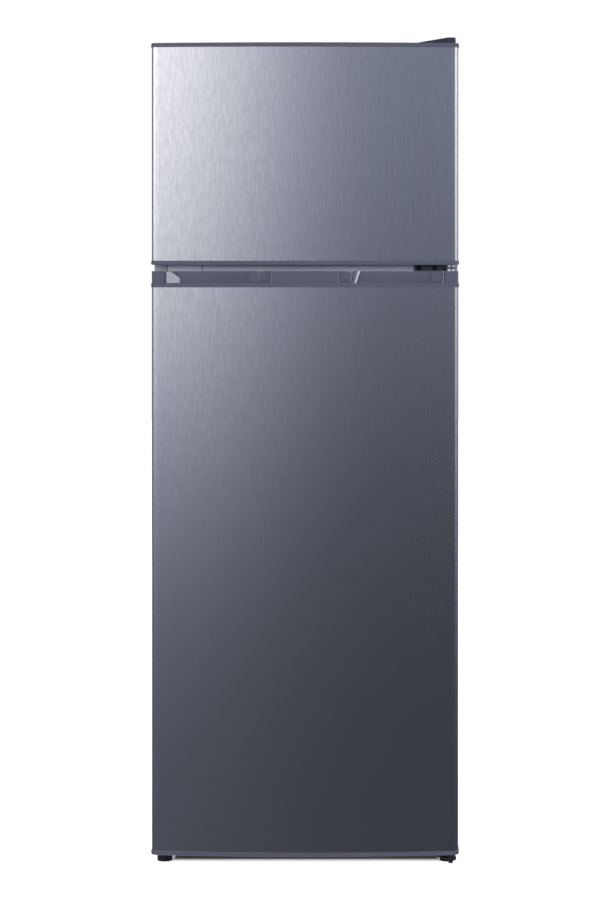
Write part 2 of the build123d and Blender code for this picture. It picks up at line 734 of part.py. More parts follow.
def pan_screw(length):
    """Pan head screw that points down from the origin."""
    with BuildPart() as screw:
        with BuildSketch():
            Circle(screw_head)
        extrude(amount=screw_head_height)
        chamfer(screw.faces().sort_by(Axis.Z)[-1].edges(), screw_head_height * 0.45)
        with Locations((0, 0, screw_head_height)):
            Box(6.4, 1.4, 2.4, mode=Mode.SUBTRACT)
            Box(1.4, 6.4, 2.4, mode=Mode.SUBTRACT)
        with BuildSketch():
            Circle(screw_radius)
        extrude(amount=-length)
    return screw.part


top_screw = pan_screw(hinge_plate + sheet)
front_screw = pan_screw(hinge_plate + screw_depth)
with BuildPart() as screws:
    for x, y in hinge_screws:
        add(Plane((x, y, cabinet_top + hinge_plate)) * top_screw)
    for x, z in middle_screws + bracket_screws:
        add(Plane((x, front_y - hinge_plate, z), x_dir=(1, 0, 0), z_dir=(0, -1, 0)) * front_screw)
keep(screws, "hinge_screws")

# Cover over the top hinge, a wedge with a round nose
cover_low = cabinet_top + fit
cover_high = cabinet_top + hinge_cover_height


def cover_body(grow, low, high):
    """Wedge with a round nose over the pin, grown outwards by grow."""
    nose = cover_nose
    with BuildPart() as body:
        with BuildSketch(Plane.XY.offset(low)):
            with BuildLine():
                right = hinge_x + nose + grow
                left = cover_left - grow
                near = front_y + 4 - grow
                tail = front_y + 70 + grow
                Polyline(
                    (right, hinge_y), (right, tail), (left, tail), (left, near), (hinge_x - nose - grow, hinge_y))
                ThreePointArc((hinge_x - nose - grow, hinge_y), (hinge_x, hinge_y - nose - grow), (right, hinge_y))
            make_face()
        extrude(amount=high - low)
        chamfer(body.faces().sort_by(Axis.Z)[-1].edges(), 0.8)
        with BuildSketch(upright(hinge_y - 40)):
            with BuildLine():
                Polyline(
                    (cover_left - 20, low + hinge_cover_tail), (cover_left - grow, low + hinge_cover_tail),
                    (hinge_x - nose + 1, high), (hinge_x - nose + 1, high + 20),
                    (cover_left - 20, high + 20), close=True)
            make_face()
        extrude(amount=-150, mode=Mode.SUBTRACT)
    return body


top_cover = cover_body(0, cover_low, cover_high)
cover_space = cover_body(-hinge_cover_wall, cover_low - 1, cover_high - hinge_cover_wall)
with top_cover:
    add(cover_space.part, mode=Mode.SUBTRACT)
keep(top_cover, "top_hinge_cover")

# Middle hinge: flange on the rail, arm between the doors and a pin up and down
flange_left = middle_screws[0][0] - 9
flange_right = hinge_x + 6
with BuildPart() as middle_hinge:
    with BuildSketch(upright(front_y)):
        with Locations(((flange_left + flange_right) / 2, middle_z)):
            RectangleRounded(flange_right - flange_left, middle_flange, 4)
        with Locations(middle_screws):
            Circle(screw_radius + fit, mode=Mode.SUBTRACT)
    extrude(amount=hinge_plate)
    with BuildSketch(Plane.XY.offset(arm_low)):
        with BuildLine():
            Polyline(
                (flange_right - 20, front_y - hinge_plate / 2), (flange_right, front_y - hinge_plate / 2),
                (hinge_x + hinge_nose, hinge_y), (hinge_x - hinge_nose, hinge_y), close=True)
        make_face()
        with Locations((hinge_x, hinge_y)):
            Circle(hinge_nose)
    extrude(amount=hinge_plate)
    bush_boss(middle_z - pin_length + 2, middle_z + pin_length - 2, radius=pin_radius)
keep(middle_hinge, "middle_hinge")

# Blank over the unused hinge seat on the left of the rail
with BuildPart() as hinge_blank:
    with BuildSketch(upright(front_y)):
        with Locations((-blank_outer + blank_width / 2, middle_z)):
            RectangleRounded(blank_width, middle_flange, 6)
    extrude(amount=2.5)
    chamfer(hinge_blank.faces().sort_by(Axis.Y)[0].edges(), 0.8)
keep(hinge_blank, "hinge_blank")

# Bottom hinge: angle bracket on the front rail with the lower pin
with BuildPart() as bottom_hinge:
    with BuildSketch(upright(front_y)):
        with Locations((hinge_x + 8 - bracket_width / 2, (bracket_low + base_height + 22) / 2)):
            Rectangle(bracket_width, base_height + 22 - bracket_low)
        with Locations(bracket_screws):
            Circle(screw_radius + fit, mode=Mode.SUBTRACT)
    extrude(amount=hinge_plate)
    with BuildSketch(Plane.XY.offset(bracket_low)):
        with BuildLine():
            Polyline(
                (hinge_x + 8 - bracket_width, front_y), (hinge_x + 8, front_y), (hinge_x + hinge_nose, hinge_y),
                (hinge_x - hinge_nose, hinge_y), close=True)
        make_face()
        with Locations((hinge_x, hinge_y)):
            Circle(hinge_nose)
    extrude(amount=hinge_plate)
    bush_boss(bracket_low - 6, fridge_low + bush_length - 3, radius=pin_radius)
    bush_boss(bracket_high, collar_high, radius=bush_radius)
keep(bottom_hinge, "bottom_hinge")


def foot(side):
    """Screw foot: a ribbed round pad with a stud."""
    with BuildPart() as pad:
        with BuildSketch():
            with Locations((side * foot_side, foot_y)):
                Circle(foot_radius)
                with PolarLocations(foot_radius + 0.8, 16):
                    Circle(1.6, mode=Mode.SUBTRACT)
        extrude(amount=foot_height)
        with BuildSketch(Plane.XY.offset(foot_height)):
            with Locations((side * foot_side, foot_y)):
                Circle(foot_radius * 0.7)
        extrude(amount=foot_collar)
        with BuildSketch(Plane.XY.offset(foot_height + foot_collar)):
            with Locations((side * foot_side, foot_y)):
                Circle(stud_radius)
        extrude(amount=base_height + stud_rise - foot_height - foot_collar)
    return pad


keep(foot(-1), "foot_left")
keep(foot(1), "foot_right")

# Compressor plate across the back, with the roller forks under it
roller_y = back_y - roller_set
plate_front = machine_y + 4
grommet_xs = (compressor_x - grommet_across, compressor_x + grommet_across)
compressor_y = back_y - machine_depth / 2
grommet_ys = (compressor_y - grommet_along, compressor_y + grommet_along)
grommet_points = [(x, y) for x in grommet_xs for y in grommet_ys]
with BuildPart() as compressor_plate:
    block((sheet - half_width, half_width - sheet), (plate_front, back_y),
          (base_height, base_height + machine_plate))
    block((sheet - half_width, half_width - sheet), (back_y - machine_plate, back_y),
          (base_height, base_height + 18))
    with Locations([(x, y, base_height) for x, y in grommet_points]):
        Cylinder(3.2, 20, mode=Mode.SUBTRACT)
    for side in (-1, 1):
        for offset_x in (-roller_width / 2 - 3, roller_width / 2 + 1):
            low_x = side * roller_side + offset_x
            block((low_x, low_x + 2), (roller_y - 10, roller_y + 10), (8, base_height))
    with BuildSketch(Plane.YZ):
        with Locations((roller_y, roller_radius)):
            Circle(axle_radius + fit)
    extrude(amount=half_width, both=True, mode=Mode.SUBTRACT)
keep(compressor_plate, "compressor_plate")

with BuildPart() as roller_axles:
    for side in (-1, 1):
        with BuildSketch(Plane.YZ.offset(side * roller_side - roller_width / 2 - 4)):
            with Locations((roller_y, roller_radius)):
                Circle(axle_radius)
        extrude(amount=roller_width + 8)
keep(roller_axles, "roller_axles")


def roller(side):
    """Plain roller with a waist and a bore for its axle."""
    with BuildPart() as wheel:
        with BuildSketch(Plane.YZ.offset(side * roller_side - roller_width / 2)):
            with Locations((roller_y, roller_radius)):
                Circle(roller_radius)
                Circle(axle_radius + run_gap, mode=Mode.SUBTRACT)
        extrude(amount=roller_width)
        chamfer(wheel.edges().filter_by(GeomType.CIRCLE).sort_by(SortBy.RADIUS)[-2:], 2)
    return wheel


keep(roller(-1), "roller_left")
keep(roller(1), "roller_right")

# Compressor: domed steel pot with a weld seam on four grommets
pot_low = base_height + machine_plate + grommet_height
with BuildPart() as compressor:
    with BuildSketch(Plane.XY.offset(pot_low + 4)):
        with Locations((compressor_x, compressor_y)):
            SlotOverall(compressor_length, compressor_width)
    extrude(amount=compressor_height)
    fillet(compressor.faces().sort_by(Axis.Z)[-1].edges(), pot_dome)
    fillet(compressor.faces().sort_by(Axis.Z)[0].edges(), pot_base)
    with BuildSketch(Plane.XY.offset(pot_low + compressor_height * 0.55)):
        with Locations((compressor_x, compressor_y)):
            SlotOverall(compressor_length + 6, compressor_width + 6)
    extrude(amount=5)
    with BuildSketch(Plane.XY.offset(pot_low)):
        with Locations((compressor_x, compressor_y)):
            RectangleRounded(foot_plate_length, foot_plate_width, 14)
        with Locations(grommet_points):
            Circle(5, mode=Mode.SUBTRACT)
    extrude(amount=5)
keep(compressor, "compressor")

with BuildPart() as compressor_mounts:
    with BuildSketch(Plane.XY.offset(base_height + machine_plate)):
        with Locations(grommet_points):
            Circle(11)
    extrude(amount=grommet_height)
    with BuildSketch(Plane.XY.offset(base_height + machine_plate)):
        with Locations(grommet_points):
            Circle(4.5)
    extrude(amount=grommet_height + 9)
keep(compressor_mounts, "compressor_mounts")

# Terminal box on the left end of the compressor
box_right = compressor_x - compressor_length / 2 - 3.5
with BuildPart() as terminal_box:
    block((box_right - 46, box_right), (compressor_y - 30, compressor_y + 30), (pot_low + 40, pot_low + 104))
    fillet(terminal_box.edges().filter_by(Axis.X), 6)
    fillet(terminal_box.faces().sort_by(Axis.X)[0].edges(), 3)
    with BuildSketch(Plane.XY.offset(pot_low + 70)):
        with Locations((box_right + 20, compressor_y)):
            Rectangle(44, 22)
    extrude(amount=10)
    add(compressor.part, mode=Mode.SUBTRACT)
keep(terminal_box, "terminal_box")

# Drain pan on the compressor
pan_low = pot_low + 4 + compressor_height + rest_gap
with BuildPart() as drain_pan:
    with BuildSketch(Plane.XY.offset(pan_low)):
        with Locations((compressor_x, compressor_y)):
            RectangleRounded(pan_length, pan_width, 16)
    extrude(amount=pan_height)
    offset(amount=-pan_wall, openings=drain_pan.faces().sort_by(Axis.Z)[-1])
keep(drain_pan, "drain_pan")

# Condenser: one serpentine tube with wires on both faces
condenser_y = back_y + condenser_stand_off
run_step = (condenser_high - condenser_low) / (condenser_runs - 1)
bend_radius = run_step / 2
run_half = condenser_width / 2 - bend_radius
tail_x = run_half - 30
with BuildPart() as condenser_tube:
    with BuildLine() as route:
        start = (tail_x, condenser_low)
        for number in range(condenser_runs):
            level = condenser_low + run_step * number
            way = -1 if number % 2 == 0 else 1
            Line((start[0], condenser_y, level), (way * run_half, condenser_y, level))
            if number < condenser_runs - 1:
                ThreePointArc(
                    (way * run_half, condenser_y, level),
                    (way * (run_half + bend_radius), condenser_y, level + bend_radius),
                    (way * run_half, condenser_y, level + run_step))
            start = (way * run_half, level)
    with BuildSketch(Plane((tail_x, condenser_y, condenser_low), x_dir=(0, 1, 0), z_dir=(-1, 0, 0))):
        RegularPolygon(tube_radius, 10)
    sweep(path=route.wires()[0])
keep(condenser_tube, "condenser_tube")

wire_pitch = 2 * (run_half - 10) / (wire_count - 1)
with BuildPart() as condenser_wires:
    for face in (-1, 1):
        wire_y = condenser_y + face * (tube_radius + wire_radius + run_gap)
        with BuildSketch(Plane.XY.offset(condenser_low - 14)):
            with Locations((0, wire_y)):
                with GridLocations(wire_pitch, 1, wire_count, 1):
                    RegularPolygon(wire_radius, 8)
        extrude(amount=condenser_high - condenser_low + 28)
keep(condenser_wires, "condenser_wires")

# Stand-offs that carry the condenser on the rear panel
bracket_levels = (condenser_low + run_step, condenser_high - run_step)
with BuildPart() as condenser_brackets:
    for level in bracket_levels:
        for side in (-1, 1):
            x = side * (run_half - 3)
            block((x - 6, x + 6), (back_y, condenser_y - tube_radius), (level - 9, level + 9))
            block((x - 4, x + 4), (back_y, condenser_y - tube_radius - 2), (level - 7, level + 7), Mode.SUBTRACT)
            block((x - 4, x + 4), (back_y, back_y + 2), (level - 14, level + 14))
keep(condenser_brackets, "condenser_brackets")

# Pipes of the compressor compartment, with the filter dryer brazed in
dryer_y = compressor_y + 40
dryer_low = base_height + machine_plate + 46
dryer_high = dryer_low + dryer_length
pipe_radius = 3.0
with BuildPart() as pipework:
    with BuildSketch(Plane.XY.offset(dryer_low)):
        with Locations((dryer_x, dryer_y)):
            Circle(dryer_radius)
    extrude(amount=dryer_length)
    chamfer(pipework.edges().filter_by(GeomType.CIRCLE), dryer_radius / 2)
    with BuildLine() as suction:
        FilletPolyline(
            (dryer_x, dryer_y, dryer_high), (dryer_x, dryer_y, machine_top - 14),
            (dryer_x + 60, dryer_y, machine_top - 14), (dryer_x + 60, dryer_y, machine_top), radius=9)
    with BuildSketch(Plane((dryer_x, dryer_y, dryer_high))):
        Circle(pipe_radius)
    sweep(path=suction.wires()[0])
    with BuildLine() as discharge:
        FilletPolyline(
            (dryer_x, dryer_y, dryer_low), (dryer_x, dryer_y, dryer_low - 26),
            (box_right - 60, dryer_y, dryer_low - 26), (box_right - 60, dryer_y, base_height + machine_plate), radius=9)
    with BuildSketch(Plane((dryer_x, dryer_y, dryer_low), x_dir=(1, 0, 0), z_dir=(0, 0, -1))):
        Circle(pipe_radius)
    sweep(path=discharge.wires()[0])
keep(pipework, "pipework")

# Cord gland in the rear flange of the compressor plate
with BuildPart() as cord_gland:
    with BuildSketch(upright(back_y)):
        with Locations((-150, base_height + 11)):
            Circle(7)
            Circle(3.5, mode=Mode.SUBTRACT)
    extrude(amount=-5)
keep(cord_gland, "cord_gland")

# Glass shelves on the ledges, with a trim along the front and the back
glass_half = cavity_half - 2
trim = 2.2
trim_depth = 16.0


def edge_trim(y_edge, way, level):
    """Plastic channel pushed over one long edge of a glass shelf, in the active part."""
    far = y_edge + way * trim
    near = y_edge - way * trim_depth
    half = cavity_half - ledge - 1
    block((-half, half), sorted((far, near)), (level - trim, level + shelf_glass + trim))
    block((-half - 1, half + 1), sorted((y_edge + way * fit, near - way)),
          (level - fit, level + shelf_glass + fit), Mode.SUBTRACT)


with BuildPart() as glass_shelves:
    for level in shelf_levels:
        with BuildSketch(Plane.XY.offset(level)):
            with Locations((0, (shelf_front + fridge_back - 14) / 2)):
                RectangleRounded(2 * glass_half, fridge_back - 14 - shelf_front, 10)
        extrude(amount=shelf_glass)
keep(glass_shelves, "glass_shelves")

with BuildPart() as shelf_trims:
    for level in shelf_levels:
        edge_trim(shelf_front, -1, level)
        edge_trim(fridge_back - 14, 1, level)
    edge_trim(shelf_front, -1, cover_level)
keep(shelf_trims, "shelf_trims")

# Crisper drawer with its glass cover
crisper_half = cavity_half - ledge - 4
with BuildPart() as crisper_cover:
    with BuildSketch(Plane.XY.offset(cover_level)):
        with Locations((0, (shelf_front + step_y - 6) / 2)):
            RectangleRounded(2 * glass_half, step_y - 6 - shelf_front, 8)
    extrude(amount=shelf_glass)
keep(crisper_cover, "crisper_cover")

with BuildPart() as crisper_drawer:
    with BuildSketch(Plane.XY.offset(crisper_low)):
        with Locations((0, crisper_front + crisper_depth / 2)):
            RectangleRounded(2 * crisper_half - 24, crisper_depth - 8, 14)
    extrude(amount=crisper_height, taper=-1)
    with BuildSketch(Plane.XY.offset(crisper_low + tub_wall)):
        with Locations((0, crisper_front + crisper_depth / 2)):
            RectangleRounded(2 * (crisper_half - 12 - tub_wall), crisper_depth - 8 - 2 * tub_wall, 14 - tub_wall)
    extrude(amount=crisper_height, taper=-1, mode=Mode.SUBTRACT)
    with BuildSketch(upright(crisper_front - 10)):
        with Locations((0, crisper_low + crisper_height)):
            SlotOverall(130, 36)
    extrude(amount=-30, mode=Mode.SUBTRACT)
keep(crisper_drawer, "crisper_drawer")

# Lamp and thermostat housing under the fridge ceiling
housing_half = 88.0
housing_front = front_y + 110
housing_depth = 120.0
housing_height = 40.0
knob_x = 52.0
knob_z = fridge_ceiling - 20
knob_radius = 15.0
shaft_radius = 3.0
lens_left = -78.0
lens_right = 20.0


def housing_profile(inset, top):
    """Side view of the housing, drawn in by inset."""
    with BuildSketch(Plane.YZ) as profile:
        with BuildLine():
            Polyline(
                (housing_front + inset, top), (housing_front + inset, fridge_ceiling - housing_height + inset),
                (housing_front + housing_depth * 0.6, fridge_ceiling - housing_height + inset),
                (housing_front + housing_depth - inset, fridge_ceiling - 14 + inset / 2),
                (housing_front + housing_depth - inset, top), close=True)
        make_face()
    return profile.sketch


with BuildPart() as control_housing:
    extrude(housing_profile(0, fridge_ceiling), amount=housing_half, both=True)
    fillet(control_housing.faces().sort_by(Axis.Z)[0].edges().filter_by(Axis.Y), 5)
    extrude(housing_profile(tub_wall, fridge_ceiling + 1), amount=housing_half - tub_wall, both=True,
            mode=Mode.SUBTRACT)
    block((lens_left, lens_right), (housing_front - 1, housing_front + tub_wall + 1),
          (fridge_ceiling - 33, fridge_ceiling - 7), Mode.SUBTRACT)
    with BuildSketch(upright(housing_front)):
        with Locations((knob_x, knob_z)):
            Circle(shaft_radius + run_gap)
    extrude(amount=-tub_wall - 1, mode=Mode.SUBTRACT)
keep(control_housing, "control_housing")

with BuildPart() as lamp_lens:
    block((lens_left + fit, lens_right - fit), (housing_front, housing_front + tub_wall),
          (fridge_ceiling - 33 + fit, fridge_ceiling - 7 - fit))
    with BuildSketch(upright(housing_front)):
        with Locations(((lens_left + lens_right) / 2, fridge_ceiling - 20)):
            with GridLocations(6, 1, 15, 1):
                Rectangle(3, 24)
    extrude(amount=0.8)
keep(lamp_lens, "lamp_lens")

with BuildPart() as thermostat_knob:
    with BuildSketch(upright(housing_front - rest_gap)):
        with Locations((knob_x, knob_z)):
            Circle(knob_radius)
            with PolarLocations(knob_radius + 1, 14):
                Circle(1.9, mode=Mode.SUBTRACT)
    extrude(amount=9)
    chamfer(thermostat_knob.faces().sort_by(Axis.Y)[0].edges(), 0.5)
    with BuildSketch(upright(housing_front - rest_gap - 9)):
        with Locations((knob_x, knob_z)):
            Rectangle(4.5, 2 * knob_radius - 5)
    extrude(amount=4)
    with BuildSketch(upright(housing_front - rest_gap)):
        with Locations((knob_x, knob_z)):
            Circle(shaft_radius)
    extrude(amount=-14)
keep(thermostat_knob, "thermostat_knob")

# Door switch under the fridge ceiling, pressed by the dyke of the fridge door
switch_x = 150.0
switch_travel = 8.0
plunger_radius = 4.0
plunger_tip = panel_y + dyke_depth + rest_gap
switch_front = plunger_tip + 3
switch_z = fridge_dyke[1] - dyke_width / 2
with BuildPart() as switch_body:
    block((switch_x - 13, switch_x + 13), (switch_front, switch_front + 34), (switch_z - 9, fridge_ceiling))
    fillet(switch_body.faces().sort_by(Axis.Z)[0].edges(), 2)
    with BuildSketch(upright(switch_front)):
        with Locations((switch_x, switch_z)):
            Circle(plunger_radius + run_gap)
    extrude(amount=-28, mode=Mode.SUBTRACT)
keep(switch_body, "switch_body")
with BuildPart() as switch_plunger:
    with BuildSketch(upright(plunger_tip)):
        with Locations((switch_x, switch_z)):
            Circle(plunger_radius)
    extrude(amount=-26)
    chamfer(switch_plunger.faces().sort_by(Axis.Y)[0].edges(), 1.5)
keep(switch_plunger, "switch_plunger")

# Wire shelf in the freezer
rod_radius = 2.5
grid_radius = 1.6
grid_count = 21
rod_y = (front_y + 110, freezer_back - 14)
rod_z = wire_shelf_level + rod_radius
with BuildPart() as wire_shelf:
    with BuildSketch(Plane.YZ):
        with Locations((rod_y[0], rod_z), (rod_y[1], rod_z), ((rod_y[0] + rod_y[1]) / 2, rod_z)):
            RegularPolygon(rod_radius, 8)
    extrude(amount=cavity_half - 2, both=True)
    with BuildSketch(upright(rod_y[0] - 4)):
        with Locations((0, rod_z + rod_radius + grid_radius - 0.6)):
            with GridLocations(2 * (cavity_half - 14) / (grid_count - 1), 1, grid_count, 1):
                RegularPolygon(grid_radius, 8)
    extrude(amount=-(rod_y[1] - rod_y[0] + 8))
keep(wire_shelf, "freezer_wire_shelf")

print("overall", round(overall_depth, 2), "deep", round(cabinet_top + hinge_cover_height, 1), "high")
print("hinge axis", hinge_x, round(hinge_y, 3), "front", round(front_y, 3), "back", round(back_y, 3))
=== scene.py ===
"""Looks of the top freezer refrigerator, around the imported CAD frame. Metres, doors facing -Y."""
import json
from math import asin, atan2, cos, pi, radians, sin, sqrt

import bmesh
import bpy
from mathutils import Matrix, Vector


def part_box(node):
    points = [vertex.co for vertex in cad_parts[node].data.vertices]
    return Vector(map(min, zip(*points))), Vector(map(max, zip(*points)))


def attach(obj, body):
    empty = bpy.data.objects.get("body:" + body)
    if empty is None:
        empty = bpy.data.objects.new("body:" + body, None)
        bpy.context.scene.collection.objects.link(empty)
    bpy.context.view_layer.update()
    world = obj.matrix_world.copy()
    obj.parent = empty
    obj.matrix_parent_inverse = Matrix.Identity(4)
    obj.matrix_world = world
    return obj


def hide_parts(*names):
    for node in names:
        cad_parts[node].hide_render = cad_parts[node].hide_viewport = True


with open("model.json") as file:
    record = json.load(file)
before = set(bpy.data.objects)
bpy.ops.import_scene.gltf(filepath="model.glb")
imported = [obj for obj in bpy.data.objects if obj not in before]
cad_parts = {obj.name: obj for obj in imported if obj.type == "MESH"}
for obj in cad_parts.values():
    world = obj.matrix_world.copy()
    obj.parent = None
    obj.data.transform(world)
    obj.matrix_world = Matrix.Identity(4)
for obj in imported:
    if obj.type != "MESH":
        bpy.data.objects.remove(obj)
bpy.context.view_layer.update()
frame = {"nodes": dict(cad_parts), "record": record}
nodes_by_name = frame["nodes"]
scene = bpy.context.scene

# Camera, from the photograph's vanishing point and scale
CAMERA_X = 0.132
CAMERA_DISTANCE = 4.2  # ahead of the doors' edges
CAMERA_HEIGHT = 1.0565
LENS = 95.5
SHIFT_X = -0.0889
SHIFT_Y = -0.2022

# Doors, as the CAD frame has them
DOOR_BOW = 0.015
DOOR_CORNER = 0.008
SKIN = 0.0008
SKIN_FLANGE = 0.014
BOW_STEPS = 72
CORNER_STEPS = 10
FOLD = radians(28)  # least angle that stays sharp on a new piece

# Finishes
COOL = (0.70, 0.78, 0.91)  # tint of a plain surface's gloss, against the warm light
NOISE_LOW = 0.3  # middle range of a noise value
NOISE_HIGH = 0.7
BRUSH_SWING = 0.01  # of a brushed metal's roughness
BRUSH_RELIEF = 0.000004
MOULD_SMOOTHER = 0.05  # swing of a moulding's roughness
MOULD_ROUGHER = 0.06
TONE_SCALE = 9  # cycles per metre of a slow drift of tone
WAVE_SCALE = 14  # of the waviness of glass
WAVE_SWING = 0.03
SPANGLE_SCALE = 120  # crystals per metre
SPANGLE_SWING = 0.03


def material(name, colour, metallic=0.0, roughness=0.5):
    """Node material with its shader's plain values set."""
    made = bpy.data.materials.new(name)
    made.use_nodes = True
    shader = made.node_tree.nodes["Principled BSDF"]
    shader.inputs["Base Color"].default_value = (*colour, 1)
    shader.inputs["Metallic"].default_value = metallic
    shader.inputs["Roughness"].default_value = roughness
    shader.inputs["Specular Tint"].default_value = (*COOL, 1)
    return made, shader


def noise(made, scale, detail=3.0, rough=0.55):
    """Noise in the object's own metres, stretched by scale (cycles per metre along each axis)."""
    tree = made.node_tree
    place = tree.nodes.new("ShaderNodeTexCoord")
    stretch = tree.nodes.new("ShaderNodeMapping")
    stretch.inputs["Scale"].default_value = scale
    grain = tree.nodes.new("ShaderNodeTexNoise")
    grain.inputs["Scale"].default_value = 1
    grain.inputs["Detail"].default_value = detail
    grain.inputs["Roughness"].default_value = rough
    tree.links.new(place.outputs["Object"], stretch.inputs["Vector"])
    tree.links.new(stretch.outputs["Vector"], grain.inputs["Vector"])
    return grain.outputs["Fac"]


def spread(made, value, low, high):
    """Noise value moved from its middle range to low..high."""
    tree = made.node_tree
    step = tree.nodes.new("ShaderNodeMapRange")
    step.inputs["From Min"].default_value = NOISE_LOW
    step.inputs["From Max"].default_value = NOISE_HIGH
    step.inputs["To Min"].default_value = low
    step.inputs["To Max"].default_value = high
    tree.links.new(value, step.inputs["Value"])
    return step.outputs["Result"]


def tint(made, shader, value, dark, light):
    """Base colour that wanders between two near colours."""
    tree = made.node_tree
    ramp = tree.nodes.new("ShaderNodeValToRGB")
    ramp.color_ramp.elements[0].position = NOISE_LOW
    ramp.color_ramp.elements[0].color = (*dark, 1)
    ramp.color_ramp.elements[1].position = NOISE_HIGH
    ramp.color_ramp.elements[1].color = (*light, 1)
    tree.links.new(value, ramp.inputs["Fac"])
    tree.links.new(ramp.outputs["Color"], shader.inputs["Base Color"])


def bump(made, shader, value, distance, strength=0.5):
    """Surface relief from a value, distance in metres."""
    tree = made.node_tree
    relief = tree.nodes.new("ShaderNodeBump")
    relief.inputs["Strength"].default_value = strength
    relief.inputs["Distance"].default_value = distance
    tree.links.new(value, relief.inputs["Height"])
    tree.links.new(relief.outputs["Normal"], shader.inputs["Normal"])


def shade(colour, factor):
    """Colour made lighter or darker."""
    return tuple(channel * factor for channel in colour)


def brushed(name, colour, roughness, strokes, anisotropy, drift=0.03):
    """Brushed metal: strokes are the grain's cycles per metre across and along it."""
    made, shader = material(name, colour, 1.0, roughness)
    shader.inputs["Anisotropic"].default_value = anisotropy
    tangent = made.node_tree.nodes.new("ShaderNodeTangent")
    tangent.direction_type = "RADIAL"
    tangent.axis = "Z"
    made.node_tree.links.new(tangent.outputs["Tangent"], shader.inputs["Tangent"])
    across, along = strokes
    grain = noise(made, (across, across, along), 2, 0.6)
    tint(made, shader, grain, shade(colour, 1 - drift), shade(colour, 1 + drift))
    polish = spread(made, grain, roughness + BRUSH_SWING, roughness - BRUSH_SWING)
    made.node_tree.links.new(polish, shader.inputs["Roughness"])
    bump(made, shader, grain, BRUSH_RELIEF, 0.3)
    return made


def moulded(name, colour, roughness=0.45, grain=1400, depth=0.00004, drift=0.04, metallic=0.0):
    """Moulded plastic or paint with a fine grain and a slight drift of tone."""
    made, shader = material(name, colour, metallic, roughness)
    fine = noise(made, (grain, grain, grain), 2)
    slow = noise(made, (TONE_SCALE, TONE_SCALE, TONE_SCALE), 3)
    tint(made, shader, slow, shade(colour, 1 - drift), shade(colour, 1 + drift))
    polish = spread(made, fine, roughness - MOULD_SMOOTHER, roughness + MOULD_ROUGHER)
    made.node_tree.links.new(polish, shader.inputs["Roughness"])
    bump(made, shader, fine, depth, 0.4)
    return made


def clear(name, colour, roughness, transmission, ior):
    """Glass or clear plastic with faint waviness."""
    made, shader = material(name, colour, 0.0, roughness)
    shader.inputs["Transmission Weight"].default_value = transmission
    shader.inputs["IOR"].default_value = ior
    wave = noise(made, (WAVE_SCALE, WAVE_SCALE, WAVE_SCALE), 2)
    tint(made, shader, wave, shade(colour, 0.985), colour)
    polish = spread(made, wave, roughness, roughness + WAVE_SWING)
    made.node_tree.links.new(polish, shader.inputs["Roughness"])
    return made


def spangled(name, colour, roughness):
    """Zinc-plated sheet with its crystal spangle."""
    made, shader = material(name, colour, 1.0, roughness)
    tree = made.node_tree
    place = tree.nodes.new("ShaderNodeTexCoord")
    cells = tree.nodes.new("ShaderNodeTexVoronoi")
    cells.inputs["Scale"].default_value = SPANGLE_SCALE
    tree.links.new(place.outputs["Object"], cells.inputs["Vector"])
    flake = tree.nodes.new("ShaderNodeSeparateColor")
    tree.links.new(cells.outputs["Color"], flake.inputs["Color"])
    tint(made, shader, flake.outputs["Red"], shade(colour, 0.96), shade(colour, 1.03))
    polish = spread(made, flake.outputs["Green"], roughness - SPANGLE_SWING, roughness + SPANGLE_SWING)
    tree.links.new(polish, shader.inputs["Roughness"])
    return made


STEEL = (0.62, 0.64, 0.713)
TRIM = (0.069, 0.0735, 0.109)
MATERIALS = {
    "door_steel": brushed("door_steel", STEEL, 0.25, (330, 52), 0.5, 0.085),
    "trim_grey": moulded("trim_grey", TRIM, 0.42),
    "cabinet_paint": moulded("cabinet_paint", (0.36, 0.38, 0.44), 0.4, 700, 0.00003, 0.015),
    "rail_paint": moulded("rail_paint", (0.66, 0.70, 0.83), 0.33, 900, 0.00002, 0.03, 0.25),
    "liner_white": moulded("liner_white", (0.80, 0.80, 0.79), 0.28, 500, 0.00003, 0.01),
    "foam": moulded("foam", (0.68, 0.56, 0.26), 0.9, 600, 0.0002, 0.1),
    "gasket_grey": moulded("gasket_grey", (0.25, 0.25, 0.27), 0.6, 900, 0.00005),
    "zinc": brushed("zinc", (0.66, 0.66, 0.64), 0.3, (500, 60), 0.3),
    "hinge_dark": moulded("hinge_dark", (0.014, 0.014, 0.017), 0.38, 1200),
    "screw_black": moulded("screw_black", (0.009, 0.009, 0.01), 0.32, 1500),
    "foot_black": moulded("foot_black", (0.010, 0.011, 0.015), 0.32, 900, 0.0001),
    "hinge_grey": moulded("hinge_grey", (0.075, 0.08, 0.10), 0.34, 1200),
    "shelf_glass": clear("shelf_glass", (0.86, 0.95, 0.92), 0.02, 0.95, 1.5),
    "clear_plastic": clear("clear_plastic", (0.90, 0.94, 0.96), 0.12, 0.75, 1.46),
    "compressor_black": moulded("compressor_black", (0.011, 0.011, 0.012), 0.3, 300, 0.0001),
    "copper": brushed("copper", (0.78, 0.36, 0.20), 0.32, (300, 300), 0.0),
    "condenser_black": moulded("condenser_black", (0.013, 0.013, 0.014), 0.42, 900),
    "galvanised": spangled("galvanised", (0.64, 0.66, 0.70), 0.42),
    "mount_rubber": moulded("mount_rubber", (0.016, 0.016, 0.016), 0.75, 600, 0.0001),
    "wire_white": moulded("wire_white", (0.78, 0.78, 0.77), 0.3, 700),
    "lens": clear("lens", (0.95, 0.95, 0.88), 0.25, 0.5, 1.46),
    "dark_plastic": moulded("dark_plastic", (0.02, 0.02, 0.022), 0.5, 900),
}

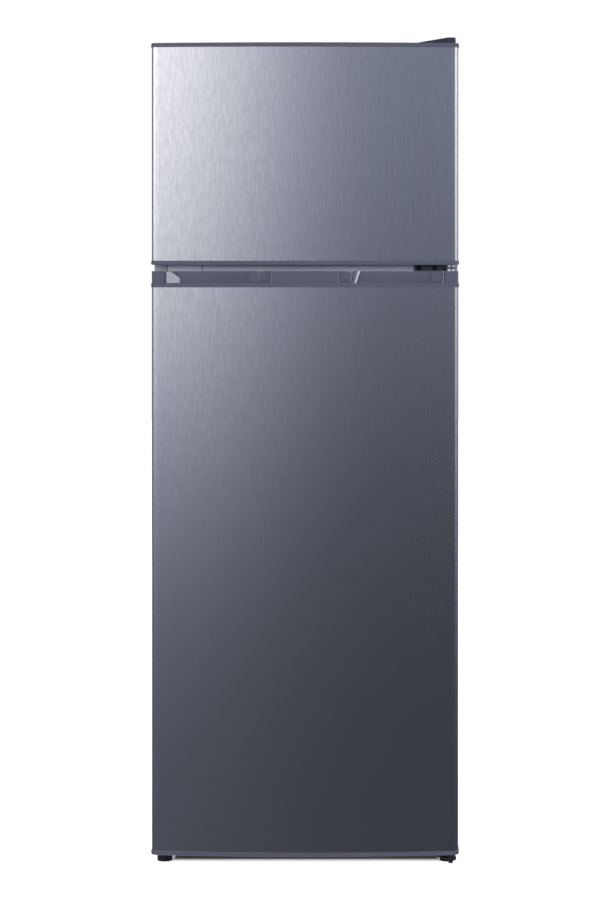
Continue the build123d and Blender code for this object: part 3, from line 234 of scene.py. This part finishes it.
# Finishes of single pieces, beside their slots' own, and painted light and highlights on the grips
GRIP_PAINTED_LIGHT = 1.85  # than the trim: painted light that offsets the shade in the grip pockets
COVER_GLOSS = 0.22
GRIP_LIT_TRIM = moulded("grip_lit_trim", shade(TRIM, GRIP_PAINTED_LIGHT), 0.42)
# Silver that stands in for the grips' highlights on grey plastic: painted highlight
GRIP_PAINTED_HIGHLIGHT = moulded("grip_painted_highlight", (0.40, 0.42, 0.51), 0.25, 1400, 0.00003, 0.05, 1.0)
COVER_DARK = moulded("cover_dark", (0.024, 0.029, 0.048), 0.24, 1400, 0.00002)
cover_shader = COVER_DARK.node_tree.nodes["Principled BSDF"]
cover_shader.inputs["Specular IOR Level"].default_value = COVER_GLOSS
BUSH_ZINC = brushed("bush_zinc", (0.63, 0.65, 0.73), 0.28, (400, 60), 0.0)

slot_of = {piece["node"]: piece["material_slot"] for piece in frame["record"]["subparts"]}
for node, thing in nodes_by_name.items():
    thing.data.materials.clear()
    thing.data.materials.append(MATERIALS[slot_of[node]])
# Grip cups in the trim made lighter: painted light against the shade in their pockets
nodes_by_name["fridge_door_grips"].data.materials[0] = GRIP_LIT_TRIM
nodes_by_name["top_hinge_cover"].data.materials[0] = COVER_DARK
for node in ("freezer_door_bushes", "fridge_door_bushes"):
    nodes_by_name[node].data.materials[0] = BUSH_ZINC


def add_mesh(name, points, faces, body, slot):
    """New piece from points and faces, smooth except at its folds, riding on a body."""
    mesh = bpy.data.meshes.new(name)
    mesh.from_pydata(points, [], faces)
    mesh.update()
    for face in mesh.polygons:
        face.use_smooth = True
    mesh.set_sharp_from_angle(angle=FOLD)
    piece = bpy.data.objects.new(name, mesh)
    scene.collection.objects.link(piece)
    piece.data.materials.append(MATERIALS[slot])
    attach(piece, body)
    return piece


def door_path(half, apex, back, grow):
    """Plan of a skin face from one rear flange round the front to the other, grown outwards."""
    radius = (half ** 2 + DOOR_BOW ** 2) / (2 * DOOR_BOW)
    centre_y = apex + radius
    big = radius + grow
    side = half + grow
    corner = DOOR_CORNER + grow
    corner_x = side - corner
    corner_y = centre_y - sqrt((big - corner) ** 2 - corner_x ** 2)
    lean = asin(corner_x / (big - corner))
    right = [(half - SKIN_FLANGE, back + grow), (side, back + grow)]
    for step in range(CORNER_STEPS + 1):
        angle = step / CORNER_STEPS * (pi / 2 - lean)
        right.append((corner_x + corner * cos(angle), corner_y - corner * sin(angle)))
    front = []
    for step in range(1, BOW_STEPS):
        turn = lean - 2 * lean * step / BOW_STEPS
        front.append((big * sin(turn), centre_y - big * cos(turn)))
    left = [(-x, y) for x, y in reversed(right)]
    return right + front + left


def door_skin(name, node, body):
    """Finely meshed skin in the place of a CAD one, with the same plan, folds and thickness."""
    low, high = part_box(node)
    half = high[0]
    outside = door_path(half, low[1], high[1], 0)
    inside = door_path(half, low[1], high[1], -SKIN)
    points = []
    for z in (low[2], high[2]):
        points += [(x, y, z) for x, y in outside]
        points += [(x, y, z) for x, y in inside]
    count = len(outside)
    faces = []
    for step in range(count - 1):
        a, b = step, step + 1
        faces.append((a, b, b + 2 * count, a + 2 * count))
        c, d = a + count, b + count
        faces.append((d, c, c + 2 * count, d + 2 * count))
        faces.append((b, a, c, d))
        faces.append((a + 2 * count, b + 2 * count, d + 2 * count, c + 2 * count))
    for end in (0, count - 1):
        faces.append((end, end + count, end + 3 * count, end + 2 * count))
    piece = add_mesh(name, points, faces, body, "door_steel")
    work = bmesh.new()
    work.from_mesh(piece.data)
    bmesh.ops.recalc_face_normals(work, faces=work.faces)
    work.to_mesh(piece.data)
    work.free()
    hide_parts(node)
    return piece


door_skin("upper_door_steel", "freezer_door_skin", "freezer_door")
door_skin("lower_door_steel", "fridge_door_skin", "fridge_door")

# Grips, as the CAD frame has them, and silver pieces on them that stand in for their highlights: painted
# highlights
GRIP_BAND = 0.021
GRIP_DEPTH = 0.022
GRIP_OUTER = 0.2435
GRIP_INNER = 0.084
GRIP_LEFT_SPLAY = 0.020
GRIP_RIGHT_SPLAY = 0.012
LANDING_END = 0.060
RIB_SLANT = 0.0027  # of a grip's inner end, from its foot to its top
LEAN = 0.0014  # of a bead, from its foot to its top
GAP = 0.0001
BEAD_SIDES = 10
BEAD_RADIUS = 0.0004
RIGHT_BEAD_RADIUS = 0.0005
BULB_RADIUS = 0.0012
BULB_TOP = 0.10  # of a bead's height
NECK_TOP = 0.16
CORNER_SLOPE = 0.72  # depth per run
CORNER_LEAD = 0.0022  # ahead of the edge of the door
CORNER_RUN = 0.0222
CORNER_TOP_RUN = 0.0075
CORNER_RISE = 0.42  # share of the band's height where the run starts to shrink
CORNER_DROP = 0.001
RIB_SLOPES = (0.06, 0.44)
RIB_FOOT_START = 0.0004  # behind the edge of the door
RIB_FOOT_RUNS = (0.0040, 0.0045)
RIB_TOP_START = 0.0055
RIB_TOP_RUNS = (0.0055, 0.0045)
cap_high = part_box("fridge_door_top_cap")[1]
skin_low, skin_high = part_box("fridge_door_skin")
edge_y = skin_low[1] + DOOR_BOW
bow_radius = (skin_high[0] ** 2 + DOOR_BOW ** 2) / (2 * DOOR_BOW)
band_low = cap_high[2] - GRIP_BAND + GAP
band_high = cap_high[2] - GAP


def door_front(x):
    """Front of the lower door's bow at a place across it."""
    return skin_low[1] + bow_radius - sqrt(bow_radius ** 2 - x ** 2)


def stack(name, rings, body, slot):
    """Closed piece through rings of points, each anticlockwise from above, from the lowest up."""
    count = len(rings[0])
    points = [point for ring in rings for point in ring]
    faces = [tuple(reversed(range(count)))]
    for level in range(len(rings) - 1):
        for step in range(count):
            a = level * count + step
            b = level * count + (step + 1) % count
            faces.append((a, b, b + count, a + count))
    last = (len(rings) - 1) * count
    faces.append(tuple(range(last, last + count)))
    return add_mesh(name, points, faces, body, slot)


def grip_highlight_bead(name, x, lean, foot, width):
    """Thin silver bead up the band, half sunk, with a bulb of its own radius at its foot: a painted
    highlight of the grip's edge.
    """
    turns = [2 * pi * step / BEAD_SIDES for step in range(BEAD_SIDES)]
    rings = []
    for share, radius in ((0, foot), (BULB_TOP, foot), (NECK_TOP, width), (1, width)):
        place = x + lean * share
        front = door_front(place)
        z = band_low + share * (band_high - band_low)
        rings.append([(place + radius * cos(turn), front + radius * sin(turn), z) for turn in turns])
    bead = stack(name, rings, "fridge_door", "trim_grey")
    # Silver in place of the trim: painted highlight
    bead.data.materials[0] = GRIP_PAINTED_HIGHLIGHT


grip_highlight_bead("left_grip_highlight", LEAN - LANDING_END, LEAN / 2, BULB_RADIUS, BEAD_RADIUS)
grip_highlight_bead("middle_grip_highlight", LANDING_END - LEAN / 2, -LEAN, BEAD_RADIUS, BEAD_RADIUS)
grip_highlight_bead("right_grip_highlight", GRIP_OUTER, LEAN / 2, BULB_RADIUS, RIGHT_BEAD_RADIUS)


def wall_x(front, splay, y):
    """Place of a grip's left end wall at a depth: straight to the edge of the door, slanted behind it."""
    return front + splay * max(0, (y - edge_y) / GRIP_DEPTH)


def grip_wedge(name, splay, slopes, rows):
    """Silver wedge on a grip's left end wall, with its facets turned to the front: a painted highlight.

    Each row is a level, the wall's front there, the depth where the first facet starts and each facet's
    run to the right.
    """
    rings = []
    for z, front, start, runs in rows:
        x = wall_x(front, splay, start) + GAP
        y = start
        ring = [(x, y, z)]
        for slope, run in zip(slopes, runs):
            x += run
            y += slope * run
            ring.append((x, y, z))
        ring.append((wall_x(front, splay, y) + GAP, y, z))
        rings.append(ring)
    wedge = stack(name, rings, "fridge_door", "trim_grey")
    # Silver in place of the trim: painted highlight
    wedge.data.materials[0] = GRIP_PAINTED_HIGHLIGHT


corner_start = edge_y - CORNER_LEAD
corner_rise = band_low + CORNER_RISE * (band_high - band_low)
# Silver only over the lit part of the left grip's end wall, its top run shrinking where shade falls:
# painted highlight
grip_wedge("grip_corner_highlight", GRIP_LEFT_SPLAY, (CORNER_SLOPE,), (
    (band_low, -GRIP_OUTER, corner_start, (CORNER_RUN,)),
    (corner_rise, -GRIP_OUTER, corner_start, (CORNER_RUN,)),
    (band_high - CORNER_DROP, -GRIP_OUTER, corner_start, (CORNER_TOP_RUN,))))
# The right grip's slanted end wall, a real shape, in silver: painted highlight
grip_wedge("grip_rib_highlight", GRIP_RIGHT_SPLAY, RIB_SLOPES, (
    (band_low, GRIP_INNER - RIB_SLANT, edge_y + RIB_FOOT_START, RIB_FOOT_RUNS),
    (band_high, GRIP_INNER, edge_y + RIB_TOP_START, RIB_TOP_RUNS)))

# Webs that carry the band's face on past the slanted right ends
WEB_DEPTH = 0.0015  # behind the band
WEB_THICK = 0.0015
LEFT_WEB = 0.014  # width
RIGHT_WEB = 0.021
for name, left, right, slant in (
        ("left_grip_web", -GRIP_INNER - LEFT_WEB, -GRIP_INNER - GAP, RIB_SLANT),
        ("right_grip_web", GRIP_OUTER - RIGHT_WEB, GRIP_OUTER - GAP, 0)):
    near = door_front(left) + WEB_DEPTH
    rings = []
    for z, end in ((band_low, right + slant), (band_high, right)):
        far = door_front(end) + WEB_DEPTH
        plan = ((left, near), (end, far), (end, far + WEB_THICK), (left, near + WEB_THICK))
        rings.append([(x, y, z) for x, y in plan])
    stack(name, rings, "fridge_door", "trim_grey")

# Dark strips at the two ends of the hinge blank: painted shade of the gaps there
GAP_SHADE_HALF = 0.0006  # half of a strip's width
GAP_SHADE_RISE = 0.0009  # ahead of the rail
LEFT_GAP_SHADE = 0.0008  # beyond the blank
RIGHT_GAP_SHADE = 0.0006
blank_low, blank_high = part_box("hinge_blank")
gap_shade_near = blank_high[1] - GAP_SHADE_RISE
gap_shade_far = blank_high[1] - GAP
for name, middle in (
        ("blank_gap_shade_left", blank_low[0] - LEFT_GAP_SHADE), ("blank_gap_shade_right", blank_high[0] + RIGHT_GAP_SHADE)):
    left = middle - GAP_SHADE_HALF
    right = middle + GAP_SHADE_HALF
    plan = ((left, gap_shade_near), (right, gap_shade_near), (right, gap_shade_far), (left, gap_shade_far))
    rings = [[(x, y, z) for x, y in plan] for z in (blank_low[2], blank_high[2])]
    # Black strips that stand in for the shade in the gaps: painted shade
    stack(name, rings, "cabinet", "screw_black")

for node, thing in nodes_by_name.items():
    for face in thing.data.polygons:
        face.use_smooth = True

# Camera
lens = bpy.data.cameras.new("camera")
lens.lens = LENS
lens.sensor_width = 36
lens.shift_x = SHIFT_X
lens.shift_y = SHIFT_Y
camera = bpy.data.objects.new("camera", lens)
camera.location = (CAMERA_X, edge_y - CAMERA_DISTANCE, CAMERA_HEIGHT)
camera.rotation_euler = (pi / 2, 0, 0)
scene.collection.objects.link(camera)
scene.camera = camera


def smooth_step(tree, value, start, stop, low, high):
    """Value moved smoothly from start..stop to low..high."""
    step = tree.nodes.new("ShaderNodeMapRange")
    step.interpolation_type = "SMOOTHSTEP"
    for name, number in (("From Min", start), ("From Max", stop), ("To Min", low), ("To Max", high)):
        step.inputs[name].default_value = number
    tree.links.new(value, step.inputs["Value"])
    return step.outputs["Result"]


def sum_up(tree, kind, first, second):
    """One sum of two values or numbers."""
    step = tree.nodes.new("ShaderNodeMath")
    step.operation = kind
    for socket, value in zip(step.inputs, (first, second)):
        if isinstance(value, (int, float)):
            socket.default_value = value
        else:
            tree.links.new(value, socket)
    return step.outputs["Value"]


def choose(tree, share, usual, other):
    """Usual value, or the other number for the rays that share picks out."""
    step = tree.nodes.new("ShaderNodeMix")
    step.data_type = "FLOAT"
    tree.links.new(share, step.inputs[0])
    tree.links.new(usual, step.inputs[2])
    step.inputs[3].default_value = other
    return step.outputs[0]


def blend(tree, share, first, second):
    """Colour between two colours, each a tuple or another node's output."""
    step = tree.nodes.new("ShaderNodeMix")
    step.data_type = "RGBA"
    tree.links.new(share, step.inputs[0])
    for socket, colour in zip(step.inputs[6:8], (first, second)):
        if isinstance(colour, tuple):
            socket.default_value = (*colour, 1)
        else:
            tree.links.new(colour, socket)
    return step.outputs[2]


def axes_of(tree, output):
    """Separate axes of a texture coordinate."""
    place = tree.nodes.new("ShaderNodeTexCoord")
    axes = tree.nodes.new("ShaderNodeSeparateXYZ")
    tree.links.new(place.outputs[output], axes.inputs["Vector"])
    return axes.outputs


# Floor: white to the eye, with a soft painted shadow well under the object, in its colour and in the
# brightness that only the camera sees
FLOOR_SIZE = 12
FLOOR_WHITE = (0.95, 0.95, 0.95)
# Colour of the painted shadow under the object
FLOOR_PAINTED_SHADOW = (0.06, 0.06, 0.06)
FLOOR_LIFT = (0.75, 0.75, 0.75)  # brightness that only the camera sees, cut back under the painted shadow
PAINTED_SHADOW_EDGE = 0.045  # from the outline of what stands over it
PAINTED_SHADOW_DARKEST = 0.077  # where the painted shadow is darkest
PAINTED_SHADOW_REACH = 2.0  # how much nearer the painted shadow comes to the sides
floor_mesh = bpy.data.meshes.new("floor")
floor_mesh.from_pydata(
    [(-FLOOR_SIZE, -FLOOR_SIZE, 0), (FLOOR_SIZE, -FLOOR_SIZE, 0), (FLOOR_SIZE, FLOOR_SIZE, 0),
     (-FLOOR_SIZE, FLOOR_SIZE, 0)], [], [(0, 1, 2, 3)])
floor = bpy.data.objects.new("floor", floor_mesh)
scene.collection.objects.link(floor)
floor_material, floor_shader = material("floor_white", FLOOR_WHITE, 0, 0.9)
floor_mesh.materials.append(floor_material)
floor_tree = floor_material.node_tree
floor_axes = axes_of(floor_tree, "Object")
back_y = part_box("cabinet_shell")[1][1]
beside = sum_up(floor_tree, "SUBTRACT", skin_high[0], sum_up(floor_tree, "ABSOLUTE", floor_axes["X"], 0))
behind = sum_up(floor_tree, "SUBTRACT", floor_axes["Y"], edge_y)
ahead = sum_up(floor_tree, "SUBTRACT", back_y, floor_axes["Y"])
beside = sum_up(floor_tree, "MULTIPLY", beside, PAINTED_SHADOW_REACH)
inset = sum_up(floor_tree, "MINIMUM", beside, sum_up(floor_tree, "MINIMUM", behind, ahead))
# Share of the floor outside the painted shadow
unshadowed_share = smooth_step(floor_tree, inset, PAINTED_SHADOW_EDGE, PAINTED_SHADOW_DARKEST, 1.0, 0.0)
floor_path = floor_tree.nodes.new("ShaderNodeLightPath")
floor_lift = sum_up(floor_tree, "MULTIPLY", floor_path.outputs["Is Camera Ray"], unshadowed_share)
floor_tree.links.new(floor_lift, floor_shader.inputs["Emission Strength"])
floor_shader.inputs["Emission Color"].default_value = (*FLOOR_LIFT, 1)
# Base colour darkened under the object: painted shadow
floor_tone = blend(floor_tree, unshadowed_share, FLOOR_PAINTED_SHADOW, FLOOR_WHITE)
floor_tree.links.new(floor_tone, floor_shader.inputs["Base Color"])
floor.visible_glossy = False

# Studio: white to the eye, and a bright upper left that fades to the lower right for the steel
GLOW = 2.75  # of the upper left
DIM_TINT = (0.718, 0.817, 1.10)  # of what metal mirrors, where it is dim
BRIGHT_TINT = (0.718, 0.693, 0.647)  # where it is bright, low or behind
AMBIENT = 0.34  # even light on what doesn't mirror
BACK_GLOW = 0.45  # behind the object
LOW_GLOW = 1.2  # of the pale floor, as metal shows it from above
BASE_GLOW = 0.026  # of the front, everywhere
BASE_LEFT = 0.045  # more of it to the left
SPILL = 0.085  # share of the upper glow that reaches all of the front
RIGHT_MOST = 0.9  # shares of the glow at the far right, and past the object's side
BESIDE_LEAST = 0.23
HIGH_POWER = 1.3
# Ramps, each from one part of the way that a ray leaves to another
LEFT_RAMP = (0.03, -0.425)
RIGHT_RAMP = (0.40, 0.70)
HIGH_RAMP = (-0.135, 0.10)
LOW_RAMP = (-0.33, -0.60)
LOW_TINT_RAMP = (-0.33, -0.5)
FRONT_RAMP = (-0.4, 0.0)
BESIDE_RAMP = (-0.3, 0.05)
AWAY_RAMP = (-0.25, 0.05)
BACK_RAMP = (-0.1, 0.6)
BRIGHT_RAMP = (0.1, 1.6)  # of brightness, for the tint
world = bpy.data.worlds.new("studio")
scene.world = world
world.use_nodes = True
sky = world.node_tree
sky.nodes.clear()
way = axes_of(sky, "Generated")
left_share = smooth_step(sky, way["X"], *LEFT_RAMP, 0.0, 1.0)
right_share = smooth_step(sky, way["X"], *RIGHT_RAMP, 0.0, RIGHT_MOST)
high_share = sum_up(sky, "POWER", smooth_step(sky, way["Z"], *HIGH_RAMP, 0.0, 1.0), HIGH_POWER)
front_share = smooth_step(sky, way["Y"], *FRONT_RAMP, 1.0, 0.0)
beside_share = smooth_step(sky, way["Y"], *BESIDE_RAMP, 1.0, BESIDE_LEAST)
glow = sum_up(sky, "MULTIPLY", sum_up(sky, "ADD", left_share, SPILL), high_share)
base_light = sum_up(sky, "ADD", sum_up(sky, "MULTIPLY", left_share, BASE_LEFT), BASE_GLOW)
front_light = sum_up(sky, "ADD", sum_up(sky, "MULTIPLY", glow, GLOW), base_light)
back_light = smooth_step(sky, way["Y"], *BACK_RAMP, 0.0, BACK_GLOW)
low_light = smooth_step(sky, way["Z"], *LOW_RAMP, 0.0, LOW_GLOW)
right_light = sum_up(sky, "MULTIPLY", sum_up(sky, "MULTIPLY", right_share, high_share), beside_share)
facing = sum_up(sky, "ADD", sum_up(sky, "MULTIPLY", front_light, front_share), back_light)
sides = sum_up(sky, "ADD", facing, sum_up(sky, "MULTIPLY", right_light, GLOW))
brightness = sum_up(sky, "ADD", sides, low_light)

paths = sky.nodes.new("ShaderNodeLightPath")
seen = sum_up(sky, "MAXIMUM", paths.outputs["Is Camera Ray"], paths.outputs["Is Transmission Ray"])
diffuse = paths.outputs["Is Diffuse Ray"]
away_share = smooth_step(sky, way["Y"], *AWAY_RAMP, 0.0, 1.0)
low_share = smooth_step(sky, way["Z"], *LOW_TINT_RAMP, 0.0, 1.0)
bright_share = smooth_step(sky, brightness, *BRIGHT_RAMP, 0.0, 1.0)
warm_share = sum_up(sky, "MAXIMUM", bright_share, sum_up(sky, "MAXIMUM", away_share, low_share))
mirrored_tint = blend(sky, warm_share, DIM_TINT, BRIGHT_TINT)
glow_shader = sky.nodes.new("ShaderNodeBackground")
unmirrored = sum_up(sky, "MAXIMUM", seen, diffuse)
sky.links.new(blend(sky, unmirrored, mirrored_tint, (1, 1, 1)), glow_shader.inputs["Color"])
strength = choose(sky, seen, choose(sky, diffuse, brightness, AMBIENT), 1.0)
sky.links.new(strength, glow_shader.inputs["Strength"])
output = sky.nodes.new("ShaderNodeOutputWorld")
sky.links.new(glow_shader.outputs["Background"], output.inputs["Surface"])


def softbox(name, place, target, size, power):
    """Square area lamp that looks at a point."""
    data = bpy.data.lights.new(name, "AREA")
    data.size = size
    data.energy = power
    lamp = bpy.data.objects.new(name, data)
    lamp.location = place
    aim_x, aim_y, aim_z = [end - start for start, end in zip(place, target)]
    lamp.rotation_euler = (atan2(sqrt(aim_x ** 2 + aim_y ** 2), -aim_z), 0, atan2(aim_y, aim_x) - pi / 2)
    lamp.visible_glossy = False
    scene.collection.objects.link(lamp)


softbox("front", place=(0.1, -4.4, 1.5), target=(0, 0, 1.05), size=0.9, power=85)
softbox("right", place=(3.2, -0.85, 1.4), target=(0, -0.25, 1.0), size=0.8, power=35)
softbox("top", place=(0, -0.2, 3.8), target=(0, 0, 0), size=3.0, power=50)
softbox("rear", place=(-0.6, 4.4, 1.9), target=(0, 0, 0.8), size=2.0, power=75)

scene.view_settings.view_transform = "Standard"
